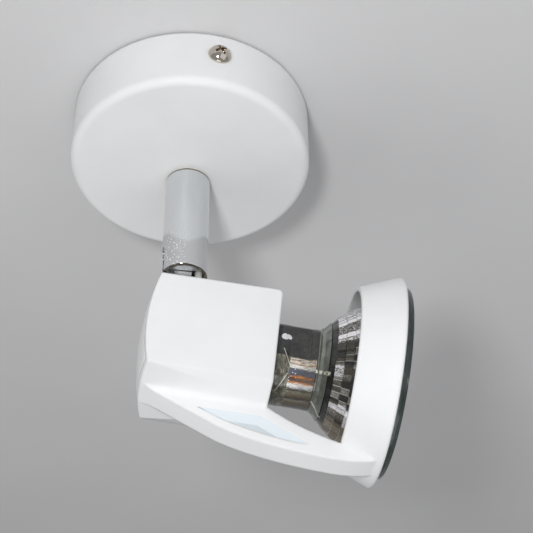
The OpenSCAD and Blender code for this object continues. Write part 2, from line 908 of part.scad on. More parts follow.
// Slot along an arc about the lamp's axis, from angle a0 to a1
module arc_slot(half_w, a0, a1, x0, x1) {
    r = pin_pitch / 2;
    translate([x0, 0, 0])
        rotate([90, 0, 90])
            union() {
                rotate([0, 0, a0])
                    rotate_extrude(angle = a1 - a0)
                        translate([r - half_w, 0])
                            square([2 * half_w, x1 - x0]);
                for (a = [a0, a1])
                    rotate([0, 0, a])
                        translate([r, 0, 0])
                            cylinder(r = half_w, h = x1 - x0);
            }
}

module lamp_holder() color(ceramic)
    in_head()
        difference() {
            intersection() {
                translate([holder_rear, -holder_w / 2, -holder_h / 2])
                    cube([holder_depth, holder_w, holder_h]);
                rod_x(holder_w / 2 + 1.2, holder_rear, holder_face);
            }
            for (half_turn = [0, 180]) {
                arc_slot(pin_head_d / 2 + part_gap, half_turn, half_turn + lock_turn,
                    pocket_rear, holder_face - skin_t);
                arc_slot(pin_shank_d / 2 + part_gap, half_turn, half_turn + lock_turn,
                    holder_face - skin_t - 1, holder_face + over);
                rotate([half_turn + lock_turn, 0, 0])
                    translate([0, pin_pitch / 2, 0])
                        rod_x(pin_head_d / 2 + part_gap + 0.1, holder_face - skin_t - 1.5,
                            holder_face + over);
            }
            for (z = [-screw_z, screw_z])
                translate([0, 0, z])
                    rod_x(screw_r + snug, holder_rear - over, holder_rear + screw_reach + 0.3);
            contact_shape(0.1);
            translate([contact_x + 0.6, 0, contact_top])
                lead_hole(holder_h, snug);
        }

// Spring contacts behind the pins, with a tab up to each lead
module contact_shape(gap) {
    for (half_turn = [0, 180])
        rotate([0, 0, half_turn]) {
            inner = lead_pitch / 2 - 0.7;
            x = half_turn == 0 ? contact_x : -contact_x - contact_t;
            translate([x - gap, inner - gap, -1.5 - gap])
                cube([contact_t + 2 * gap, pin_pitch / 2 + 1.5 - inner + 2 * gap, 3 + 2 * gap]);
            translate([x - gap, inner - gap, -1.5 - gap])
                cube([contact_t + 2 * gap, 1.4 + 2 * gap, contact_top + 1.5 + gap]);
        }
}

module holder_contacts() color(brass)
    in_head()
        contact_shape(0);

module lead_grommet() color("#3a3a3a")
    in_head()
        at_grommet()
            difference() {
                union() {
                    translate([0, 0, -box_wall - flange_t])
                        cylinder(r = flange_r, h = flange_t);
                    translate([0, 0, -box_wall])
                        cylinder(r = grommet_r, h = box_wall);
                    cylinder(r = flange_r, h = flange_t);
                }
                translate([0, 0, -box_wall - 2])
                    lead_hole(box_wall + 4, snug);
            }

module head_leads() color("#d9d4c7")
    in_head()
        for (side = [-1, 1])
            lead([
                [grommet_x, side * lead_pitch / 2, top_z(grommet_x) + 1.2],
                [grommet_x, side * lead_pitch / 2, box_top - box_wall - 1.6],
                [contact_x + 0.6, side * lead_pitch / 2, holder_h / 2 + 1.2],
                [contact_x + 0.6, side * lead_pitch / 2, contact_top]
            ]);

// Lamp parts, in the head's frame

// Round bar along X with two flat sides
module flatted(r, w, x0, x1) {
    intersection() {
        rod_x(r, x0, x1);
        translate([x0 - over, -w / 2, -r - over])
            cube([x1 - x0 + 2 * over, w, 2 * (r + over)]);
    }
}

module lamp_base() color(ceramic)
    in_head()
        difference() {
            union() {
                flatted(neck_d / 2 - 0.6, neck_w - 0.8, base_face, neck_back);
                flatted(neck_d / 2 - plug_inset, neck_w - 2 * plug_flat_inset,
                    base_face, neck_back + plug_len);
            }
            rod_x(post_r + 0.2, base_face + pin_root + 0.5, neck_back + plug_len + 0.8);
            for (side = [-1, 1])
                translate([0, side * pin_pitch / 2, 0])
                    rod_x(pin_shank_d / 2 + snug, base_face - over, base_face + pin_root);
        }

module lamp_pins() color(zinc)
    in_head()
        for (side = [-1, 1])
            translate([0, side * pin_pitch / 2, 0]) {
                rod_x(pin_head_d / 2, base_face - pin_len, base_face - pin_len + pin_head_t);
                rod_x(pin_shank_d / 2, base_face - pin_len, base_face + pin_root - 0.1);
            }

module lamp_reflector() color(glass)
    in_head() {
        steps = 12;
        difference() {
            flatted(neck_d / 2, neck_w, neck_back, neck_front + 1);
            flatted(neck_d / 2 - plug_inset + plug_play, neck_w - 2 * (plug_flat_inset - plug_play),
                neck_back - over, neck_back + plug_len + part_gap);
            rod_x(capsule_r + 0.8, neck_back, neck_front + 2);
        }
        turned_x()
            polygon(concat(
                [[capsule_r + 0.8, neck_front]],
                [for (i = [0 : steps]) let (x = neck_front + (bowl_end - neck_front) * i / steps)
                    [bowl_r(x), x]],
                [
                    [lamp_r, rim_back], [lamp_r, lamp_front - 0.4], [lamp_r - 0.4, lamp_front],
                    [cover_r + snug, lamp_front], [cover_r + snug, lamp_front - cover_t],
                    [cover_r - 1.1, lamp_front - cover_t]
                ],
                [for (i = [0 : steps])
                    let (x = bowl_end + (neck_front + glass_t - bowl_end) * i / steps)
                    [bowl_r(x) - 1.25 * glass_t, x]],
                [[capsule_r + 0.8, neck_front + glass_t]]
            ));
    }

module lamp_cover() color(glass)
    in_head()
        turned_x()
            polygon([
                [0, lamp_front - cover_t], [cover_r, lamp_front - cover_t],
                [cover_r, lamp_front - 0.3], [cover_r - 0.3, lamp_front], [0, lamp_front]
            ]);

// Outside of the capsule, or its hollow when inset by the wall
module capsule_form(inset) {
    r = capsule_r - inset;
    ball_x = capsule_end - capsule_r;
    rod_x(post_r - inset, bulb_back - post_len + inset, bulb_back + 1);
    rod_x(r, bulb_back + inset, ball_x);
    translate([ball_x, 0, 0])
        sphere(r = r);
}

module lamp_capsule() color("#e6e6e2")
    in_head()
        difference() {
            capsule_form(0);
            capsule_form(capsule_wall);
        }

module lamp_filament() color(zinc)
    in_head() {
        for (side = [-1, 1])
            translate([0, 0, side * wire_pitch / 2])
                rod_x(wire_r, bulb_back - post_len / 2, coil_x);
        translate([coil_x, 0, -coil_len / 2])
            cylinder(r = coil_r, h = coil_len);
    }

ceiling_strap();
ceiling_cup();
cup_screws();
earth_screw();
earth_lead();
terminal_block();
terminal_tubes();
terminal_screws();
block_screw();
stop_peg();
cup_leads();
stem_tube();
stem_nipple();
thrust_washer();
spring_washer();
stop_washer();
stem_nut();
hinge_block();
hinge_pin();
stem_leads();
hinge_lug();
lug_washer();
lug_nut();
head_casting();
rear_lid();
holder_bracket();
holder_screws();
lamp_holder();
holder_contacts();
lead_grommet();
head_leads();
lamp_base();
lamp_pins();
lamp_reflector();
lamp_cover();
lamp_capsule();
lamp_filament();
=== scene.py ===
"""Looks of the ceiling spotlight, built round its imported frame. Everything is in metres."""

import json
import math

import bmesh
import bpy
from mathutils import Matrix, Vector


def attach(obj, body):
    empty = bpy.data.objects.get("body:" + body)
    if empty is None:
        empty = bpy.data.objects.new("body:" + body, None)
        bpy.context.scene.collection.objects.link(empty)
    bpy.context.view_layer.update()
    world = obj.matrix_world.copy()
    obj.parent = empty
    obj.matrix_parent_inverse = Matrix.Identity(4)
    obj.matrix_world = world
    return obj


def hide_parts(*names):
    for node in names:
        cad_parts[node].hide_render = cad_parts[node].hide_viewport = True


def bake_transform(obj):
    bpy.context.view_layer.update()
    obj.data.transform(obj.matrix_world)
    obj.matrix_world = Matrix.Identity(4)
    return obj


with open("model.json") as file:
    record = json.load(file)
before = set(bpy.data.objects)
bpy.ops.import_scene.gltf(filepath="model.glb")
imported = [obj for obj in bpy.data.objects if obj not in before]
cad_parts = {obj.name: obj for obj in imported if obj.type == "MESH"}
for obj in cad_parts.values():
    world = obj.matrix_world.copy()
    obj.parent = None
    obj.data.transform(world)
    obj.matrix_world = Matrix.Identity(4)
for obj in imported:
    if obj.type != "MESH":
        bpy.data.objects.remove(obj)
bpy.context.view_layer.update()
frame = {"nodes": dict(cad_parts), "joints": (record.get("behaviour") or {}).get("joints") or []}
nodes = frame["nodes"]
MM = 0.001

# Driving sizes, the same as the solids have, in millimetres
CUP_R = 34.4
SCREW_TURN = math.radians(7.2)
SCREW_DROP = 7.9
SCREW_HEAD_D = 6.6
SCREW_HEAD_H = 2.6
STEM_Y = 5.2
STEM_END = -55.98
STEM_LEN = 36.0
STEM_R = 6.4
STEM_IN_R = 5.4
STEM_SOFT = 0.3
SLOT_W = 5.0
SLOT_H = 9.8
LEAD_X = 3.9
LEAD_R = 0.9
LEAD_PITCH = 2.2
GROMMET_X = 6.6
BOX_TOP = 14.0
BOX_RISE = math.tan(math.radians(1.6))
DOME_BACK = 11.2
ARM_HALF = 3.5
LEAF_TOP = 18.9
LEAF_BRIM = (17.13, 0.479, -0.0068)
# x span, in millimetres, of the painted shadow line along the leaf recess's lower edge
LEAF_SHADOW_SPAN = (6.5, 27.0)
LAMP_R = 25.6
LAMP_FRONT = 56.85
RIM_BACK = 54.25
NECK_R = 10.9
NECK_HALF = 9.3
NECK_BACK = 19.55
NECK_FRONT = 35.5
GLASS_T = 1.4
COVER_R = 24.65
COVER_T = 1.2
CAPSULE_HOLE = 5.2
FLUTES = 60
FACET_STARTS = [39.5, 41.5, 43.6, 45.9, 48.4, 51.1, 54.05]
BAND_BACK = 28.2
BAND_FRONT = 35.0
COLLAR_BACK = 35.3
COLLAR_FRONT = 37.9


def joint(name):
    return next(j for j in frame["joints"] if j["name"] == name)


def head_matrix():
    """The head's own frame at rest: X along the lamp, Z up, its origin on the lamp's axis."""
    twist = joint("lamp_twist")
    x = Vector(twist["axis"]).normalized()
    y = Vector((0, 1, 0))
    z = x.cross(y)
    m = Matrix((x, y, z)).transposed().to_4x4()
    m.translation = Vector(twist["pos_m"])
    return m


HEAD = head_matrix()


def in_head(x, y, z):
    """A point of the head's frame, given in millimetres, in the row's frame in metres."""
    return HEAD @ Vector((x * MM, y * MM, z * MM))


# Camera at the photograph's viewing angle

LENS = 94.56
CAMERA_AT = Vector((-22.74, -289.96, -301.46)) * MM
LOOK_UP = math.radians(40.2)
LOOK_TURN = math.radians(8.79)
ROLL = math.radians(-0.5)


def make_camera():
    data = bpy.data.cameras.new("camera")
    data.lens = LENS
    data.sensor_width = 36
    data.clip_start = 0.01
    data.clip_end = 20
    cam = bpy.data.objects.new("camera", data)
    bpy.context.scene.collection.objects.link(cam)
    right = Vector((math.cos(LOOK_TURN), -math.sin(LOOK_TURN), 0))
    ahead = Vector((math.cos(LOOK_UP) * math.sin(LOOK_TURN), math.cos(LOOK_UP) * math.cos(LOOK_TURN),
                    math.sin(LOOK_UP)))
    up = right.cross(ahead)
    turned_right = right * math.cos(ROLL) + up * math.sin(ROLL)
    turned_up = up * math.cos(ROLL) - right * math.sin(ROLL)
    m = Matrix((turned_right, turned_up, -ahead)).transposed().to_4x4()
    m.translation = CAMERA_AT
    cam.matrix_world = m
    bpy.context.scene.camera = cam
    return turned_right, turned_up, ahead


cam_right, cam_up, cam_ahead = make_camera()


# Materials

class Nodes:
    """A new material's node tree, with short ways to add and join its nodes."""

    def __init__(self, name):
        self.material = bpy.data.materials.new(name)
        self.material.use_nodes = True
        self.tree = self.material.node_tree
        self.bsdf = self.tree.nodes["Principled BSDF"]
        coords = self.tree.nodes.new("ShaderNodeTexCoord")
        self.place = coords.outputs["Object"]
        self.normal = coords.outputs["Normal"]

    def add(self, kind, **values):
        node = self.tree.nodes.new(kind)
        for key, value in values.items():
            setattr(node, key, value)
        return node

    def link(self, a, b):
        self.tree.links.new(a, b)

    def set(self, **values):
        names = {
            "color": "Base Color", "metal": "Metallic", "rough": "Roughness", "ior": "IOR",
            "transmission": "Transmission Weight", "coat": "Coat Weight", "coat_rough": "Coat Roughness",
            "specular": "Specular IOR Level", "sheen": "Sheen Weight",
        }
        for key, value in values.items():
            if key == "color":
                value = (*value, 1)
            self.bsdf.inputs[names[key]].default_value = value

    def scaled(self, scale):
        """Object coordinates stretched by a scale per axis."""
        mapping = self.add("ShaderNodeMapping")
        mapping.inputs["Scale"].default_value = scale
        self.link(self.place, mapping.inputs["Vector"])
        return mapping.outputs["Vector"]

    def noise(self, scale, detail=3, rough=0.5, vector=None):
        node = self.add("ShaderNodeTexNoise")
        node.inputs["Scale"].default_value = scale
        node.inputs["Detail"].default_value = detail
        node.inputs["Roughness"].default_value = rough
        self.link(vector or self.place, node.inputs["Vector"])
        return node.outputs["Fac"]

    def spots(self, scale):
        """Distance to the nearest of many scattered points."""
        node = self.add("ShaderNodeTexVoronoi")
        node.inputs["Scale"].default_value = scale
        self.link(self.place, node.inputs["Vector"])
        return node.outputs["Distance"]

    def head_place(self):
        """The three coordinates in the head's frame, in millimetres."""
        moved = self.add("ShaderNodeVectorMath", operation="SUBTRACT")
        self.link(self.place, moved.inputs[0])
        moved.inputs[1].default_value = HEAD.translation
        found = []
        for axis in HEAD.to_3x3().transposed():
            dot = self.add("ShaderNodeVectorMath", operation="DOT_PRODUCT")
            self.link(moved.outputs["Vector"], dot.inputs[0])
            dot.inputs[1].default_value = axis
            found.append(self.math("DIVIDE", dot.outputs["Value"], MM))
        return found

    def between(self, value, low, high):
        """One where the value lies between two limits, else nought."""
        return self.times(self.math("GREATER_THAN", value, low), self.math("LESS_THAN", value, high))

    def ramp(self, fac, stops):
        """A color ramp, from (place, color) or (place, level) stops."""
        node = self.add("ShaderNodeValToRGB")
        ramp = node.color_ramp
        while len(ramp.elements) < len(stops):
            ramp.elements.new(0.5)
        for element, (at, value) in zip(ramp.elements, stops):
            element.position = at
            element.color = (*value, 1) if isinstance(value, tuple) else (value, value, value, 1)
        self.link(fac, node.inputs["Fac"])
        return node.outputs["Color"]

    def math(self, kind, a, b=0.0):
        node = self.add("ShaderNodeMath", operation=kind)
        for socket, value in zip(node.inputs, (a, b)):
            if isinstance(value, (int, float)):
                socket.default_value = value
            else:
                self.link(value, socket)
        return node.outputs["Value"]

    def plus(self, a, b):
        return self.math("ADD", a, b)

    def minus(self, a, b):
        return self.math("SUBTRACT", a, b)

    def times(self, a, b):
        return self.math("MULTIPLY", a, b)

    def mix(self, fac, a, b):
        node = self.add("ShaderNodeMix", data_type="RGBA")
        sockets = {s.identifier: s for s in node.inputs}
        for key, value in (("Factor_Float", fac), ("A_Color", a), ("B_Color", b)):
            socket = sockets[key]
            if isinstance(value, tuple):
                socket.default_value = (*value, 1)
            elif isinstance(value, (int, float)):
                socket.default_value = value
            else:
                self.link(value, socket)
        return next(s for s in node.outputs if s.identifier == "Result_Color")

    def bump(self, height, strength, distance):
        """A bump on top of whatever shapes the normal so far."""
        node = self.add("ShaderNodeBump")
        node.inputs["Strength"].default_value = strength
        node.inputs["Distance"].default_value = distance
        self.link(height, node.inputs["Height"])
        previous = self.bsdf.inputs["Normal"]
        if previous.is_linked:
            self.link(previous.links[0].from_socket, node.inputs["Normal"])
        self.link(node.outputs["Normal"], previous)

    def to(self, value, socket):
        self.link(value, self.bsdf.inputs[socket])


def white_paint():
    """Smooth white powder coat, slightly uneven. Inside the leaf-shaped recesses it carries painted cool light,
    painted shade on the flat facet and a painted shadow line along the lower edge.
    """
    n = Nodes("white_paint")
    n.set(ior=1.45, specular=0.3)
    cloud = n.noise(55, 4, 0.55)
    base = n.ramp(cloud, [(0.3, (0.80, 0.81, 0.815)), (0.72, (0.845, 0.85, 0.852))])
    grime = n.ramp(n.noise(420, 3, 0.7), [(0.66, 0.0), (0.9, 0.35)])
    base = n.mix(n.times(grime, 0.35), base, (0.55, 0.53, 0.49))
    side = n.add("ShaderNodeSeparateXYZ")
    n.link(n.normal, side.inputs[0])
    x, y, z = n.head_place()
    facing = n.math("ABSOLUTE", side.outputs["Y"])
    sunk = n.math("LESS_THAN", n.math("ABSOLUTE", y), ARM_HALF - 0.04)
    leaf = n.times(sunk, n.math("LESS_THAN", z, -LEAF_TOP))
    leaf = n.times(leaf, n.math("GREATER_THAN", facing, 0.9))
    flat = n.times(leaf, n.math("GREATER_THAN", facing, 0.992))
    # Painted light in the recesses: a cool bluish tint over them, and painted shade on their flat facet
    base = n.mix(leaf, base, (0.72, 0.785, 0.825))
    base = n.mix(flat, base, (0.60, 0.66, 0.69))
    # Painted shadow line along the recess's lower edge, over a given span along the arm
    brim = n.plus(z, n.plus(LEAF_BRIM[0], n.times(x, n.plus(LEAF_BRIM[1], n.times(x, LEAF_BRIM[2])))))
    shadow_line = n.times(n.math("LESS_THAN", brim, 0.34), n.between(x, *LEAF_SHADOW_SPAN))
    base = n.mix(n.times(leaf, n.times(shadow_line, 0.8)), base, (0.26, 0.28, 0.30))
    n.to(base, "Base Color")
    n.to(n.ramp(n.noise(160, 3), [(0.3, 0.48), (0.7, 0.58)]), "Roughness")
    soft = n.add("ShaderNodeBevel", samples=8)
    soft.inputs["Radius"].default_value = 0.9 * MM
    n.to(soft.outputs["Normal"], "Normal")
    n.bump(n.noise(1500, 2, 0.4), 0.10, 0.00006)
    n.bump(n.noise(260, 2, 0.4), 0.06, 0.0002)
    return n.material


def chrome_plate(name="chrome_plate", tint=(0.74, 0.755, 0.77), dusty=1.0, dark_end_bands=()):
    """Polished plating with fine scratches and settled dust, and darker bands between given heights: on the stem
    tube, painted contact shade at its top and a darker lower end face.
    """
    n = Nodes(name)
    place = n.add("ShaderNodeSeparateXYZ")
    n.link(n.place, place.inputs[0])
    specks = n.ramp(n.spots(1300), [(0.26, 1.0), (0.36, 0.0)])
    low = n.ramp(n.times(place.outputs["Z"], -10.0), [(0.40, 0.0), (0.50, 1.0)])
    back = n.ramp(n.plus(n.times(place.outputs["X"], -60.0), 0.5), [(0.45, 0.0), (0.70, 1.0)])
    patches = n.ramp(n.noise(300, 3, 0.6), [(0.34, 0.0), (0.48, 1.0)])
    dust = n.times(n.times(specks, patches), n.times(low, back))
    dust = n.times(dust, dusty)
    base = n.mix(dust, tint, (0.80, 0.79, 0.76))
    # Each band darkens the plating to a dull brown; at the tube's top this is painted contact shade where it meets
    # the cup
    for low_z, high_z in dark_end_bands:
        base = n.mix(n.between(place.outputs["Z"], low_z * MM, high_z * MM), base, (0.27, 0.25, 0.21))
    n.to(base, "Base Color")
    n.to(n.minus(1.0, n.times(dust, 0.9)), "Metallic")
    hairlines = n.noise(1.0, 4, 0.6, n.scaled((2600, 2600, 60)))
    shine = n.ramp(hairlines, [(0.3, 0.045), (0.7, 0.10)])
    n.to(n.plus(shine, n.times(dust, 0.6)), "Roughness")
    n.bump(hairlines, 0.05, 0.00004)
    n.bump(dust, 0.25, 0.00005)
    return n.material


def plated_steel(name="zinc_plate", tint=(0.60, 0.61, 0.62)):
    """Zinc plated steel: dull, a little mottled, with pressing marks."""
    n = Nodes(name)
    n.set(metal=1.0)
    dark = tuple(0.72 * c for c in tint)
    mottle = n.noise(700, 4, 0.65)
    n.to(n.ramp(mottle, [(0.32, dark), (0.68, tint)]), "Base Color")
    n.to(n.ramp(n.noise(350, 4, 0.6), [(0.3, 0.24), (0.7, 0.46)]), "Roughness")
    n.bump(mottle, 0.22, 0.00008)
    n.bump(n.spots(1400), 0.08, 0.00005)
    return n.material


def turned_brass():
    n = Nodes("turned_brass")
    n.set(metal=1.0)
    tarnish = n.noise(300, 4, 0.6)
    n.to(n.ramp(tarnish, [(0.35, (0.58, 0.40, 0.16)), (0.65, (0.80, 0.62, 0.30))]), "Base Color")
    n.to(n.ramp(tarnish, [(0.3, 0.20), (0.7, 0.40)]), "Roughness")
    n.bump(n.noise(1.0, 2, 0.5, n.scaled((6000, 300, 300))), 0.15, 0.00005)
    return n.material


def moulded_plastic(name, light, dark, rough=0.45):
    n = Nodes(name)
    n.set(ior=1.48)
    n.to(n.ramp(n.noise(140, 3), [(0.3, dark), (0.7, light)]), "Base Color")
    n.to(n.ramp(n.noise(500, 3), [(0.3, rough - 0.08), (0.7, rough + 0.08)]), "Roughness")
    n.bump(n.noise(2200, 2), 0.18, 0.00005)
    return n.material


def sleeve(name, light, dark):
    """Woven heat proof sleeve: fine diagonal braid."""
    n = Nodes(name)
    n.set(sheen=0.3, ior=1.4)
    wave = n.add("ShaderNodeTexWave", wave_type="BANDS", bands_direction="DIAGONAL")
    wave.inputs["Scale"].default_value = 900
    wave.inputs["Distortion"].default_value = 1.5
    n.link(n.place, wave.inputs["Vector"])
    n.to(n.ramp(wave.outputs["Fac"], [(0.2, dark), (0.8, light)]), "Base Color")
    n.to(n.ramp(n.noise(600), [(0.3, 0.6), (0.7, 0.8)]), "Roughness")
    n.bump(wave.outputs["Fac"], 0.4, 0.00008)
    return n.material


def earth_insulation():
    """Green insulation with a yellow stripe."""
    n = Nodes("earth_insulation")
    n.set(ior=1.48)
    wave = n.add("ShaderNodeTexWave", wave_type="BANDS", bands_direction="Z")
    wave.inputs["Scale"].default_value = 420
    n.link(n.place, wave.inputs["Vector"])
    n.to(n.ramp(wave.outputs["Fac"], [(0.45, (0.05, 0.28, 0.05)), (0.55, (0.75, 0.62, 0.04))]), "Base Color")
    n.to(n.ramp(n.noise(500), [(0.3, 0.35), (0.7, 0.5)]), "Roughness")
    n.bump(n.noise(900), 0.1, 0.00005)
    return n.material


def steatite():
    """Unglazed ceramic: off-white, grainy, with faint scorching."""
    n = Nodes("steatite")
    n.set(ior=1.5)
    grain = n.noise(1100, 5, 0.7)
    base = n.ramp(grain, [(0.3, (0.66, 0.63, 0.56)), (0.7, (0.80, 0.78, 0.72))])
    scorch = n.ramp(n.noise(90, 3), [(0.55, 0.0), (0.8, 0.4)])
    n.to(n.mix(scorch, base, (0.45, 0.40, 0.33)), "Base Color")
    n.to(n.ramp(grain, [(0.3, 0.55), (0.7, 0.78)]), "Roughness")
    n.bump(grain, 0.3, 0.0001)
    return n.material


def black_rubber():
    n = Nodes("black_rubber")
    n.set(ior=1.45)
    n.to(n.ramp(n.noise(400), [(0.3, (0.018, 0.018, 0.018)), (0.7, (0.05, 0.05, 0.052))]), "Base Color")
    n.to(n.ramp(n.noise(900), [(0.3, 0.5), (0.7, 0.75)]), "Roughness")
    n.bump(n.noise(2500), 0.3, 0.00006)
    return n.material


def neck_stripes(n, x, turn):
    """What the neck's round side shows of the lamp inside it: bright, brown and olive bands."""
    dark, smoke, cream, pale = (0.04, 0.04, 0.04), (0.15, 0.15, 0.155), (0.80, 0.64, 0.46), (0.92, 0.89, 0.83)
    tan, blue, orange, bronze = (0.42, 0.24, 0.10), (0.12, 0.13, 0.18), (0.66, 0.26, 0.06), (0.10, 0.035, 0.015)
    bright, olive, umber, deep = (0.80, 0.80, 0.79), (0.30, 0.29, 0.22), (0.17, 0.12, 0.07), (0.05, 0.048, 0.036)
    bands = [(0, dark), (13, dark), (19, smoke), (21.5, dark), (23, cream), (24.5, pale), (26, tan), (27.5, pale),
             (30.5, cream), (32, tan), (33.5, pale), (36.5, pale), (39.5, blue), (47, blue), (49.5, orange),
             (51.5, bronze), (56, bronze), (58.5, orange), (60.5, bright), (65, bright), (69, deep), (73, olive),
             (80, umber), (84, deep), (89, olive), (95, umber), (103, deep), (120, dark)]
    waver = n.noise(1.0, 4, 0.6, n.scaled((420, 1700, 1700)))
    angle = n.plus(turn, n.times(n.minus(waver, 0.5), 0.16))
    color = n.ramp(n.math("DIVIDE", angle, math.radians(120)), [(a / 120, c) for a, c in bands])
    streak = n.ramp(n.noise(1.0, 4, 0.75, n.scaled((700, 5200, 5200))), [(0.40, 1.0), (0.54, 0.0)])
    color = n.mix(n.times(streak, 0.75), color, (0.07, 0.06, 0.05))
    shade = n.ramp(n.times(n.minus(x, BAND_BACK), 1 / (BAND_FRONT - BAND_BACK)), [(0.25, 0.0), (1.0, 0.45)])
    color = n.mix(shade, color, (0.06, 0.055, 0.045))
    glint = n.ramp(n.spots(1500), [(0.16, 1.0), (0.30, 0.0)])
    glint = n.times(n.times(glint, n.between(x, BAND_BACK, 30.6)),
                   n.between(turn, math.radians(22), math.radians(70)))
    return n.mix(n.times(glint, 0.8), color, (0.93, 0.93, 0.97))


def stroke(n, x, turn, start, end, half):
    """A thin slanting line on the neck, from one (x, degrees) to another."""
    lean = (end[0] - start[0]) / math.radians(end[1] - start[1])
    off = n.minus(n.minus(x, start[0]),
                 n.times(n.minus(turn, math.radians(start[1])), lean))
    return n.times(n.between(off, -half, half),
                  n.between(turn, math.radians(start[1]), math.radians(end[1])))


def facet_tones(n, x, y, z, turn):
    """A tone for each facet of the bowl, as each mirrors another part of the room."""
    around = n.times(n.math("ARCTAN2", z, y), FLUTES / (2 * math.pi))
    flute = n.math("FLOOR", around)
    row = n.math("GREATER_THAN", x, FACET_STARTS[1])
    for start in FACET_STARTS[2:-1]:
        row = n.plus(row, n.math("GREATER_THAN", x, start))
    upper = n.between(turn, math.radians(-60), math.radians(5))
    cell = n.add("ShaderNodeCombineXYZ")
    n.link(flute, cell.inputs["X"])
    n.link(n.times(row, n.minus(1.0, upper)), cell.inputs["Y"])
    chance = n.add("ShaderNodeTexWhiteNoise", noise_dimensions="3D")
    n.link(cell.outputs["Vector"], chance.inputs["Vector"])
    lean = [(-180, 0.45), (-60, 0.5), (-44, 0.95), (2, 1.0), (6, 0.05), (26, 0.08), (29, 0.58), (39, 0.52),
            (42, 0.18), (62, 0.25), (66, 0.78), (84, 0.70), (88, 0.42), (120, 0.38), (180, 0.45)]
    leaning = n.ramp(n.plus(n.math("DIVIDE", turn, 2 * math.pi), 0.5),
                     [((a + 180) / 360, v) for a, v in lean])
    streak = n.noise(1.0, 4, 0.7, n.scaled((200, 3400, 3400)))
    grain = n.plus(0.6, n.times(upper, 0.9))
    level = n.plus(n.times(chance.outputs["Value"], 0.42), n.times(leaning, 0.42))
    level = n.plus(level, n.times(n.minus(streak, 0.5), grain))
    tone = n.ramp(level, [
        (0.0, (0.025, 0.025, 0.025)), (0.26, (0.045, 0.045, 0.04)), (0.30, (0.11, 0.095, 0.075)),
        (0.40, (0.06, 0.057, 0.05)), (0.43, (0.25, 0.235, 0.20)), (0.53, (0.19, 0.18, 0.16)),
        (0.56, (0.83, 0.82, 0.86)), (1.0, (0.95, 0.95, 0.95))])
    joint_line = n.minus(1.0, n.between(n.math("FRACT", around), 0.07, 0.93))
    tone = n.mix(n.times(joint_line, n.times(upper, 0.75)), tone, (0.04, 0.04, 0.04))
    lit = n.times(joint_line, n.math("GREATER_THAN", chance.outputs["Value"], 0.62))
    lit = n.times(lit, n.minus(1.0, upper))
    tone = n.mix(n.times(lit, 0.6), tone, (0.75, 0.76, 0.75))
    under = n.times(n.math("GREATER_THAN", turn, math.radians(86)), 0.55)
    return n.mix(under, tone, (0.26, 0.20, 0.12))


def silvered_glass():
    """Silvered glass: neck bands, a grey-green collar with a painted glint, and facets whose many tones are painted
    reflections, under a clear face.
    """
    n = Nodes("silvered_glass")
    n.set(coat=0.45, coat_rough=0.03, ior=1.45, specular=0.35)
    x, y, z = n.head_place()
    turn = n.math("ARCTAN2", n.times(z, -1.0), n.times(y, -1.0))
    cloud = n.noise(420, 4, 0.65)
    base = n.ramp(cloud, [(0.3, (0.02, 0.02, 0.02)), (0.7, (0.055, 0.055, 0.052))])
    slope = n.ramp(n.noise(1.0, 5, 0.7, n.scaled((1100, 520, 520))), [
        (0.30, (0.05, 0.05, 0.035)), (0.50, (0.13, 0.125, 0.095)), (0.62, (0.30, 0.29, 0.23)),
        (0.72, (0.62, 0.60, 0.52))])
    low = n.math("GREATER_THAN", turn, 0.35)
    base = n.mix(n.times(low, n.math("LESS_THAN", x, BAND_BACK)), base, slope)
    base = n.mix(n.times(low, n.between(x, BAND_BACK, BAND_FRONT)), base, neck_stripes(n, x, turn))
    for start, end in (((26.2, 8), (28.3, 36)), ((27.9, 46), (25.4, 76))):
        base = n.mix(n.times(stroke(n, x, turn, start, end, 0.11), 0.75), base, (0.80, 0.80, 0.74))
    collar = n.ramp(cloud, [(0.3, (0.15, 0.16, 0.14)), (0.7, (0.27, 0.285, 0.25))])
    base = n.mix(n.between(x, COLLAR_BACK, COLLAR_FRONT), base, collar)
    # Painted glint across the collar, and a pale arc along its bottom
    collar_glint = n.times(n.between(x, BAND_FRONT, 38.6), n.between(turn, math.radians(35.5), math.radians(40)))
    collar_glint = n.times(collar_glint, n.ramp(n.noise(1600, 3, 0.6), [(0.42, 0.0), (0.55, 1.0)]))
    curl = stroke(n, x, turn, (COLLAR_BACK, 84), (38.2, 100), 0.32)
    base = n.mix(n.times(n.math("MAXIMUM", collar_glint, curl), 0.85), base, (0.88, 0.87, 0.74))
    base = n.mix(n.math("GREATER_THAN", x, FACET_STARTS[0] - 0.1), base, facet_tones(n, x, y, z, turn))
    for dot_x, dot_z, dot_r in ((26.2, 2.5, 0.95), (27.3, 2.85, 0.75)):
        dx = n.minus(x, dot_x)
        dz = n.minus(z, dot_z)
        far = n.plus(n.times(dx, dx), n.times(dz, dz))
        dot = n.times(n.math("LESS_THAN", far, dot_r ** 2), n.math("LESS_THAN", y, -8.0))
        base = n.mix(dot, base, (0.75, 0.76, 0.78))
    flecks = n.ramp(n.spots(1500), [(0.0, 1.0), (0.16, 0.0)])
    n.to(n.mix(n.times(flecks, 0.30), base, (0.75, 0.74, 0.70)), "Base Color")
    n.to(n.ramp(n.math("GREATER_THAN", x, COLLAR_BACK), [(0.0, 0.15), (1.0, 0.55)]), "Metallic")
    n.to(n.ramp(n.noise(500, 4, 0.6), [(0.3, 0.05), (0.72, 0.18)]), "Roughness")
    n.bump(n.noise(330, 3, 0.5), 0.25, 0.0002)
    n.bump(n.noise(1400, 2, 0.5), 0.12, 0.00005)
    return n.material


def clear_glass(name="clear_glass", tint=(0.80, 0.88, 0.85), rough=0.015):
    n = Nodes(name)
    n.set(color=tint, transmission=1.0, ior=1.5)
    n.to(n.ramp(n.noise(300, 3), [(0.35, rough), (0.7, rough + 0.05)]), "Roughness")
    n.bump(n.noise(420, 2), 0.08, 0.0001)
    return n.material


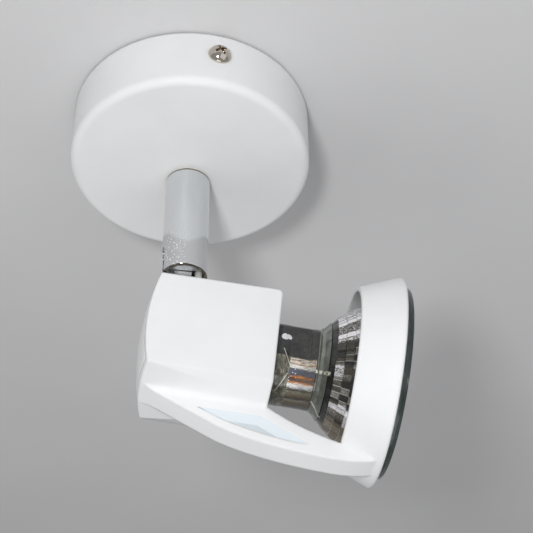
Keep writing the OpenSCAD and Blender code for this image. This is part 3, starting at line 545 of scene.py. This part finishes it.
def tungsten_wire():
    n = Nodes("tungsten_wire")
    n.set(metal=1.0)
    n.to(n.ramp(n.noise(2000), [(0.3, (0.22, 0.22, 0.23)), (0.7, (0.42, 0.42, 0.44))]), "Base Color")
    n.to(n.ramp(n.noise(1500), [(0.3, 0.35), (0.7, 0.55)]), "Roughness")
    n.bump(n.noise(4000), 0.2, 0.00003)
    return n.material


paint = white_paint()
STEM_ROOT = STEM_END + STEM_LEN
# The top band is painted contact shade where the tube meets the cup; the other darkens the lower end face
chrome = chrome_plate(dark_end_bands=((STEM_END - 1, STEM_END + 0.12), (STEM_ROOT - 0.75, STEM_ROOT + 1)))
screw_nickel = chrome_plate("screw_nickel", (0.60, 0.55, 0.48), 0.0)
zinc = plated_steel()
lug_zinc = plated_steel("lug_zinc", (0.70, 0.71, 0.72))
brass = turned_brass()
nylon = moulded_plastic("white_nylon", (0.80, 0.79, 0.75), (0.72, 0.71, 0.67))
braid = sleeve("braided_sleeve", (0.62, 0.61, 0.58), (0.40, 0.39, 0.37))
brown = moulded_plastic("brown_insulation", (0.20, 0.10, 0.05), (0.14, 0.07, 0.035), 0.4)
green = earth_insulation()
ceramic = steatite()
rubber = black_rubber()
silver = silvered_glass()
glass = clear_glass()
# Rim glass: its green is the glass's own, its darkness painted, standing for dark surroundings seen through it
rim_glass = clear_glass("rim_glass", (0.30, 0.36, 0.34), 0.03)
quartz = clear_glass("quartz", (0.93, 0.94, 0.94), 0.01)
tungsten = tungsten_wire()

NODE_MATERIALS = {
    "ceiling_strap": zinc, "ceiling_cup": paint, "earth_screw": brass, "earth_lead": green,
    "terminal_block": nylon, "terminal_tubes": brass, "terminal_screws": zinc, "block_screw": zinc,
    "stop_peg": zinc, "cup_leads": brown, "cup_screws": screw_nickel, "stem_tube": chrome, "stem_nipple": zinc,
    "thrust_washer": nylon, "spring_washer": zinc, "stop_washer": zinc, "stem_nut": zinc,
    "hinge_block": zinc, "hinge_pin": zinc, "stem_leads": braid, "hinge_lug": lug_zinc,
    "lug_washer": zinc, "lug_nut": zinc, "head_casting": paint, "rear_lid": paint,
    "holder_bracket": zinc, "holder_screws": zinc, "lamp_holder": ceramic, "holder_contacts": brass,
    "lead_grommet": rubber, "head_leads": braid, "lamp_base": ceramic, "lamp_pins": zinc,
    "lamp_reflector": silver, "lamp_cover": glass, "lamp_capsule": quartz, "lamp_filament": tungsten,
}

# Edge rounding of the carried-over nodes, in millimetres
EDGE_ROUNDING = {
    "head_casting": 0.55, "rear_lid": 0.12, "hinge_lug": 0.25, "ceiling_strap": 0.15, "terminal_block": 0.3,
    "lamp_holder": 0.25, "hinge_block": 0.15, "holder_bracket": 0.12, "lamp_base": 0.3,
    "stem_nut": 0.2, "lug_nut": 0.15, "stop_washer": 0.1,
}


def dress_nodes():
    for name, obj in nodes.items():
        obj.data.materials.clear()
        obj.data.materials.append(NODE_MATERIALS[name])
        if name in EDGE_ROUNDING:
            weld = obj.modifiers.new("weld", "WELD")
            weld.merge_threshold = 0.000002
            bevel = obj.modifiers.new("bevel", "BEVEL")
            bevel.width = EDGE_ROUNDING[name] * MM
            bevel.segments = 3
            bevel.limit_method = "ANGLE"
            bevel.angle_limit = math.radians(32)
            bevel.harden_normals = True


dress_nodes()


# Mesh helpers

def new_piece(name, mesh_data, material, smooth_angle=40):
    mesh = bpy.data.meshes.new(name)
    mesh_data.normal_update()
    mesh_data.to_mesh(mesh)
    mesh_data.free()
    obj = bpy.data.objects.new(name, mesh)
    bpy.context.scene.collection.objects.link(obj)
    mesh.materials.append(material)
    mesh.polygons.foreach_set("use_smooth", [True] * len(mesh.polygons))
    mesh.set_sharp_from_angle(angle=math.radians(smooth_angle))
    return obj


def loft(bm, rings, close_first=True, close_last=True):
    """Faces between rings of points, each ring a closed loop of the same length."""
    rows = [[bm.verts.new(p) for p in ring] for ring in rings]
    count = len(rows[0])
    for a, b in zip(rows, rows[1:]):
        for i in range(count):
            j = (i + 1) % count
            bm.faces.new((a[i], a[j], b[j], b[i]))
    if close_first:
        bm.faces.new(list(reversed(rows[0])))
    if close_last:
        bm.faces.new(rows[-1])
    return rows


# Floor, backdrop and light, in metres

BOARD_HALF = 0.9
BOARD_GAP = 0.0006
LIGHT_AIM = Vector((0.01, 0, -0.06))
WORLD_STRENGTH = 0.48
SKY = [(0.0, 0.72), (0.35, 0.74), (0.5, 0.70), (1.0, 0.75)]

# Each lamp's place to the camera's right, up and ahead, its size, watts and color
LAMPS = {
    "key": ((-0.085, 0.05, -0.05), 0.065, 1.04, (1, 1, 1)),
    "fill": ((0.35, 0.10, 0.0), 0.5, 0.40, (0.97, 0.98, 1.0)),
    "low": ((-0.05, -0.30, 0.10), 0.3, 0.30, (1, 1, 1)),
}


def make_stage():
    """The pale ceiling board that the cup is screwed to. It faces down and is clear from above."""
    bm = bmesh.new()
    bmesh.ops.create_grid(bm, x_segments=1, y_segments=1, size=BOARD_HALF)
    bmesh.ops.reverse_faces(bm, faces=bm.faces[:])
    bmesh.ops.translate(bm, verts=bm.verts[:], vec=(0, 0, BOARD_GAP))
    n = Nodes("pale_board")
    n.set(rough=0.75, specular=0.2)
    n.to(n.ramp(n.noise(14, 3), [(0.3, (0.63, 0.63, 0.635)), (0.7, (0.66, 0.66, 0.665))]), "Base Color")
    out = n.tree.nodes["Material Output"]
    clear = n.add("ShaderNodeBsdfTransparent")
    sides = n.add("ShaderNodeMixShader")
    n.link(n.add("ShaderNodeNewGeometry").outputs["Backfacing"], sides.inputs["Fac"])
    n.link(n.bsdf.outputs["BSDF"], sides.inputs[1])
    n.link(clear.outputs["BSDF"], sides.inputs[2])
    n.link(sides.outputs["Shader"], out.inputs["Surface"])
    board = new_piece("ceiling_board", bm, n.material)


def area_light(name, offset, size, power, color):
    """A soft square light placed from the camera and turned to the part."""
    data = bpy.data.lights.new(name, "AREA")
    data.size = size
    data.energy = power
    data.color = color
    lamp = bpy.data.objects.new(name, data)
    bpy.context.scene.collection.objects.link(lamp)
    at = CAMERA_AT + cam_right * offset[0] + cam_up * offset[1] + cam_ahead * offset[2]
    lamp.location = at
    lamp.rotation_mode = "QUATERNION"
    lamp.rotation_quaternion = (LIGHT_AIM - at).to_track_quat("-Z", "Y")


def make_light():
    """An almost even studio world and three soft lamps."""
    world = bpy.data.worlds.new("studio")
    bpy.context.scene.world = world
    world.use_nodes = True
    tree = world.node_tree
    background = tree.nodes["Background"]
    coords = tree.nodes.new("ShaderNodeTexCoord")
    split = tree.nodes.new("ShaderNodeSeparateXYZ")
    ramp = tree.nodes.new("ShaderNodeValToRGB")
    tree.links.new(coords.outputs["Generated"], split.inputs[0])
    height = tree.nodes.new("ShaderNodeMath")
    height.operation = "MULTIPLY_ADD"
    height.inputs[1].default_value = 0.5
    height.inputs[2].default_value = 0.5
    tree.links.new(split.outputs["Z"], height.inputs[0])
    tree.links.new(height.outputs["Value"], ramp.inputs["Fac"])
    while len(ramp.color_ramp.elements) < len(SKY):
        ramp.color_ramp.elements.new(0.5)
    for element, (at, level) in zip(ramp.color_ramp.elements, SKY):
        element.position = at
        element.color = (level, level, level * 1.01, 1)
    tree.links.new(ramp.outputs["Color"], background.inputs["Color"])
    background.inputs["Strength"].default_value = WORLD_STRENGTH
    for name, values in LAMPS.items():
        area_light(name, *values)


make_stage()
make_light()


# Screws in the cup's side, in millimetres

CROSS_HALF = 0.42
CROSS_REACH = 1.75
CROSS_DEPTH = 1.5
CROSS_TURN = math.radians(28)
HEAD_RIM = 0.25
THREAD_R = 2.0
THREAD_CUT = 0.22
THREAD_TURNS = 9
THREAD_STEPS = 4


def dome_height(r, head_r, head_h):
    """Height of a spherical cap at a distance from its middle."""
    ball = (head_r ** 2 + head_h ** 2) / (2 * head_h)
    return math.sqrt(max(ball ** 2 - r ** 2, 0)) - (ball - head_h)


def screw_head(bm, place):
    """Domed head with a cross recess, drawn along local Z and put in place by a matrix."""
    head_r = SCREW_HEAD_D / 2
    spokes, steps = 96, 22
    rings = []
    for k in range(1, steps + 1):
        r = head_r * (k / steps)
        ring = []
        for i in range(spokes):
            a = 2 * math.pi * i / spokes
            x, y = r * math.cos(a), r * math.sin(a)
            z = HEAD_RIM + dome_height(r, head_r, SCREW_HEAD_H - HEAD_RIM)
            short, long = sorted((abs(x), abs(y)))
            sink = min(1.0, max(0.0, (CROSS_HALF - short) / 0.12)) * min(1.0, max(0.0, (CROSS_REACH - long) / 0.35))
            z -= sink * CROSS_DEPTH * (1 - 0.35 * long / CROSS_REACH)
            ring.append(place @ Vector((x * MM, y * MM, z * MM)))
        rings.append(ring)
    skirt = [place @ Vector((head_r * MM * math.cos(2 * math.pi * i / spokes),
                             head_r * MM * math.sin(2 * math.pi * i / spokes), 0)) for i in range(spokes)]
    rings.append(skirt)
    loft(bm, rings)


def make_cup_screws():
    """Two opposite screws: domed heads on threaded shanks."""
    bm = bmesh.new()
    for turn in (0, math.pi):
        a = SCREW_TURN + turn - math.pi / 2
        out = Vector((math.cos(a), math.sin(a), 0))
        spin = Matrix.Rotation(CROSS_TURN, 4, "Z")
        place = out.to_track_quat("Z", "Y").to_matrix().to_4x4() @ spin
        place.translation = out * (CUP_R - 0.02) * MM + Vector((0, 0, -SCREW_DROP * MM))
        screw_head(bm, place)
        thread_rings = []
        side = out.cross(Vector((0, 0, 1)))
        for k in range(THREAD_TURNS * THREAD_STEPS + 1):
            crest = THREAD_R - (0.0 if k % THREAD_STEPS < 2 else THREAD_CUT)
            at = out * (CUP_R - 0.3 - THREAD_CUT * k) * MM + Vector((0, 0, -SCREW_DROP * MM))
            thread_rings.append([at + (side * math.cos(t) + Vector((0, 0, 1)) * math.sin(t)) * crest * MM
                                 for t in (2 * math.pi * i / 32 for i in range(32))])
        loft(bm, thread_rings)
    obj = new_piece("domed_cup_screws", bm, screw_nickel, 35)
    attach(obj, "canopy")
    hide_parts("cup_screws")


make_cup_screws()


# Stem tube

def slot_half(z):
    """Half the width of the tube's slot at a height above the tube's end."""
    top = SLOT_H - SLOT_W / 2
    if z <= top:
        return SLOT_W / 2
    return math.sqrt(max((SLOT_W / 2) ** 2 - (z - top) ** 2, 0))


def make_stem_tube():
    """The plated tube with softly broken edges and a round-topped slot at its back."""
    bm = bmesh.new()
    count = 220
    soft = [(STEM_SOFT * (1 - math.cos(a)), STEM_SOFT * (1 - math.sin(a)))
            for a in (math.pi / 2 * k / 5 for k in range(6))]
    arch = [SLOT_H - SLOT_W / 2 * (1 - math.sin(math.pi / 2 * k / 14)) for k in range(15)]
    heights = list(soft)
    heights += [((SLOT_H - SLOT_W / 2) * k / 4, 0) for k in range(1, 4)]
    heights += [(z, 0) for z in arch]
    heights += [(SLOT_H + (STEM_LEN - STEM_SOFT - SLOT_H) * k / 24, 0) for k in range(1, 24)]
    heights += [(STEM_LEN - z, drop) for z, drop in reversed(soft)]
    rows = []
    for z, drop in heights:
        half = slot_half(z)
        row = []
        for r in (STEM_R - drop, STEM_IN_R):
            open_angle = math.asin(half / r)
            line = []
            for i in range(count + 1):
                a = math.pi + open_angle + (2 * math.pi - 2 * open_angle) * i / count
                line.append(bm.verts.new((r * math.cos(a) * MM, (STEM_Y + r * math.sin(a)) * MM,
                                          (STEM_END + z) * MM)))
            row.append(line)
        rows.append((row, half > 0))
    for (low, low_open), (high, high_open) in zip(rows, rows[1:]):
        for i in range(count):
            bm.faces.new((low[0][i], low[0][i + 1], high[0][i + 1], high[0][i]))
            bm.faces.new((low[1][i + 1], low[1][i], high[1][i], high[1][i + 1]))
        if low_open:
            bm.faces.new((low[1][0], low[0][0], high[0][0], high[1][0]))
            bm.faces.new((low[0][-1], low[1][-1], high[1][-1], high[0][-1]))
    for row, turned in ((rows[0][0], True), (rows[-1][0], False)):
        for i in range(count):
            face = [row[0][i], row[0][i + 1], row[1][i + 1], row[1][i]]
            bm.faces.new(list(reversed(face)) if turned else face)
    bmesh.ops.remove_doubles(bm, verts=bm.verts[:], dist=1e-7)
    obj = new_piece("plated_tube", bm, chrome, 35)
    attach(obj, "stem")
    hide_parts("stem_tube")


make_stem_tube()


# Lamp

def bowl_r(x):
    """Radius of the bowl's outside at a place along the lamp."""
    t = x - NECK_FRONT
    return math.sqrt((NECK_R + 0.1) ** 2 + 22.5 * t + 0.22 * t * t)


def neck_outline(r, half, count):
    """Section of the neck: a circle with two flat sides, as (y, z) points."""
    points = []
    for i in range(count):
        a = 2 * math.pi * i / count
        y, z = r * math.cos(a), r * math.sin(a)
        points.append((max(-half, min(half, y)), z))
    return points


def facet_outline(x, drop, phase):
    """A ring of the bowl as a polygon of flat facets, as (y, z) points, two for each flute."""
    r = bowl_r(x) - drop
    points = []
    for i in range(FLUTES):
        for share, lift in ((0.08, 0.0), (0.5, -0.16), (0.92, 0.0)):
            a = 2 * math.pi * (i + share + phase) / FLUTES
            points.append(((r + lift) * math.cos(a), (r + lift) * math.sin(a)))
    return points


def make_reflector():
    """Pressed reflector: framed neck block, two plain bands and rows of facets up to the rim."""
    bm = bmesh.new()
    count = FLUTES * 3

    def circle(r):
        return [(r * math.cos(2 * math.pi * i / count), r * math.sin(2 * math.pi * i / count))
                for i in range(count)]

    rows = [
        (NECK_BACK, neck_outline(NECK_R - 1.1, NECK_HALF - 1.0, count)),
        (NECK_BACK + 1.0, neck_outline(NECK_R - 0.2, NECK_HALF - 0.2, count)),
        (26.4, neck_outline(NECK_R, NECK_HALF, count)),
        (27.9, neck_outline(NECK_R - 0.1, NECK_HALF - 0.75, count)),
        (33.3, neck_outline(NECK_R - 0.1, NECK_HALF - 0.75, count)),
        (34.3, neck_outline(NECK_R, NECK_HALF, count)),
        (NECK_FRONT, neck_outline(NECK_R, NECK_HALF + 0.4, count)),
        (NECK_FRONT + 0.3, circle(NECK_R + 0.35)),
        (36.6, circle(bowl_r(36.6) - 0.35)),
        (37.8, circle(bowl_r(37.8) + 0.05)),
        (38.1, circle(bowl_r(38.1) - 0.4)),
        (39.3, circle(bowl_r(39.3) - 0.2)),
    ]
    for x0, x1 in zip(FACET_STARTS, FACET_STARTS[1:]):
        rows.append((x0, facet_outline(x0, 0.0, 0)))
        rows.append(((x0 + x1) / 2, facet_outline((x0 + x1) / 2, 0.12, 0)))
        rows.append((x1 - 0.18, facet_outline(x1 - 0.18, 0.28, 0)))
    rows.append((RIM_BACK, circle(LAMP_R - 0.6)))
    rows.append((RIM_BACK + 0.1, circle(LAMP_R - 0.25)))
    rows.append((RIM_BACK + 0.1, circle(COVER_R - 1.1)))
    inner = []
    for x0, x1 in zip(FACET_STARTS, FACET_STARTS[1:]):
        inner.append((x0 + 0.1, facet_outline(x0, 1.75, 0.5)))
        inner.append((x1 - 0.25, facet_outline(x1, 2.0, 0.5)))
    for x, outline in reversed(inner):
        rows.append((x, outline))
    rows.append((NECK_FRONT + GLASS_T + 1.0, circle(bowl_r(NECK_FRONT + 2.4) - 2.2)))
    rows.append((NECK_FRONT + GLASS_T, circle(NECK_R - 1.6)))
    rows.append((NECK_FRONT + GLASS_T, circle(CAPSULE_HOLE)))
    rows.append((NECK_BACK + 4, circle(CAPSULE_HOLE)))
    loft(bm, [[in_head(x, y, z) for y, z in outline] for x, outline in rows])
    obj = new_piece("pressed_reflector", bm, silver, 18)
    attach(obj, "lamp")
    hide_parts("lamp_reflector")


def make_lamp_rim():
    """The reflector's clear glass flange, which stands out past the ring."""
    bm = bmesh.new()
    profile = [
        (RIM_BACK + 0.12, COVER_R - 1.05), (RIM_BACK + 0.12, LAMP_R - 0.35), (RIM_BACK + 0.3, LAMP_R - 0.08),
        (RIM_BACK + 0.6, LAMP_R), (LAMP_FRONT - 0.7, LAMP_R), (LAMP_FRONT - 0.25, LAMP_R - 0.12),
        (LAMP_FRONT, LAMP_R - 0.45), (LAMP_FRONT, COVER_R + 0.08), (LAMP_FRONT - COVER_T - 0.05, COVER_R + 0.08),
        (LAMP_FRONT - COVER_T - 0.05, COVER_R - 1.05),
    ]
    count = 128
    rings = [[in_head(x, r * math.cos(2 * math.pi * i / count), r * math.sin(2 * math.pi * i / count))
              for i in range(count)] for x, r in profile + profile[:1]]
    loft(bm, rings, False, False)
    bmesh.ops.remove_doubles(bm, verts=bm.verts[:], dist=1e-7)
    obj = new_piece("lamp_rim", bm, rim_glass, 40)
    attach(obj, "lamp")


make_reflector()
make_lamp_rim()


# Leads across the tilt joint

LINK_PULL = 5.5
LINK_STEPS = 24


def tube_rings(points, radius, count=16):
    """Rings of points round a path that bends in the XZ plane."""
    rings = []
    for i, p in enumerate(points):
        ahead = (points[min(i + 1, len(points) - 1)] - points[max(i - 1, 0)]).normalized()
        side = ahead.cross(Vector((0, 1, 0))).normalized()
        up = side.cross(ahead)
        rings.append([p + (side * math.cos(2 * math.pi * k / count) + up * math.sin(2 * math.pi * k / count)) * radius
                      for k in range(count)])
    return rings


def make_lead_links():
    """The short free stretch of the two leads, from the tube's end to the grommet."""
    bm = bmesh.new()
    top_z = BOX_TOP + (GROMMET_X + DOME_BACK) * BOX_RISE + 1.2
    end = in_head(GROMMET_X, 0, top_z)
    start = Vector((LEAD_X * MM, STEM_Y * MM, (STEM_END + 0.3) * MM))
    pull = LINK_PULL * MM
    up_in_head = (in_head(0, 0, 1) - in_head(0, 0, 0)).normalized()
    for side in (-1, 1):
        shift = Vector((0, side * LEAD_PITCH / 2 * MM, 0))
        a, d = start + shift, end + shift
        b = a - Vector((0, 0, pull))
        c = d + up_in_head * pull
        points = []
        for k in range(LINK_STEPS + 1):
            t = k / LINK_STEPS
            s = 1 - t
            points.append(a * s ** 3 + b * 3 * s * s * t + c * 3 * s * t * t + d * t ** 3)
        loft(bm, tube_rings(points, LEAD_R * MM))
    obj = new_piece("lead_links", bm, braid, 60)
    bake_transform(obj)


make_lead_links()

bpy.context.scene.view_settings.view_transform = "Standard"
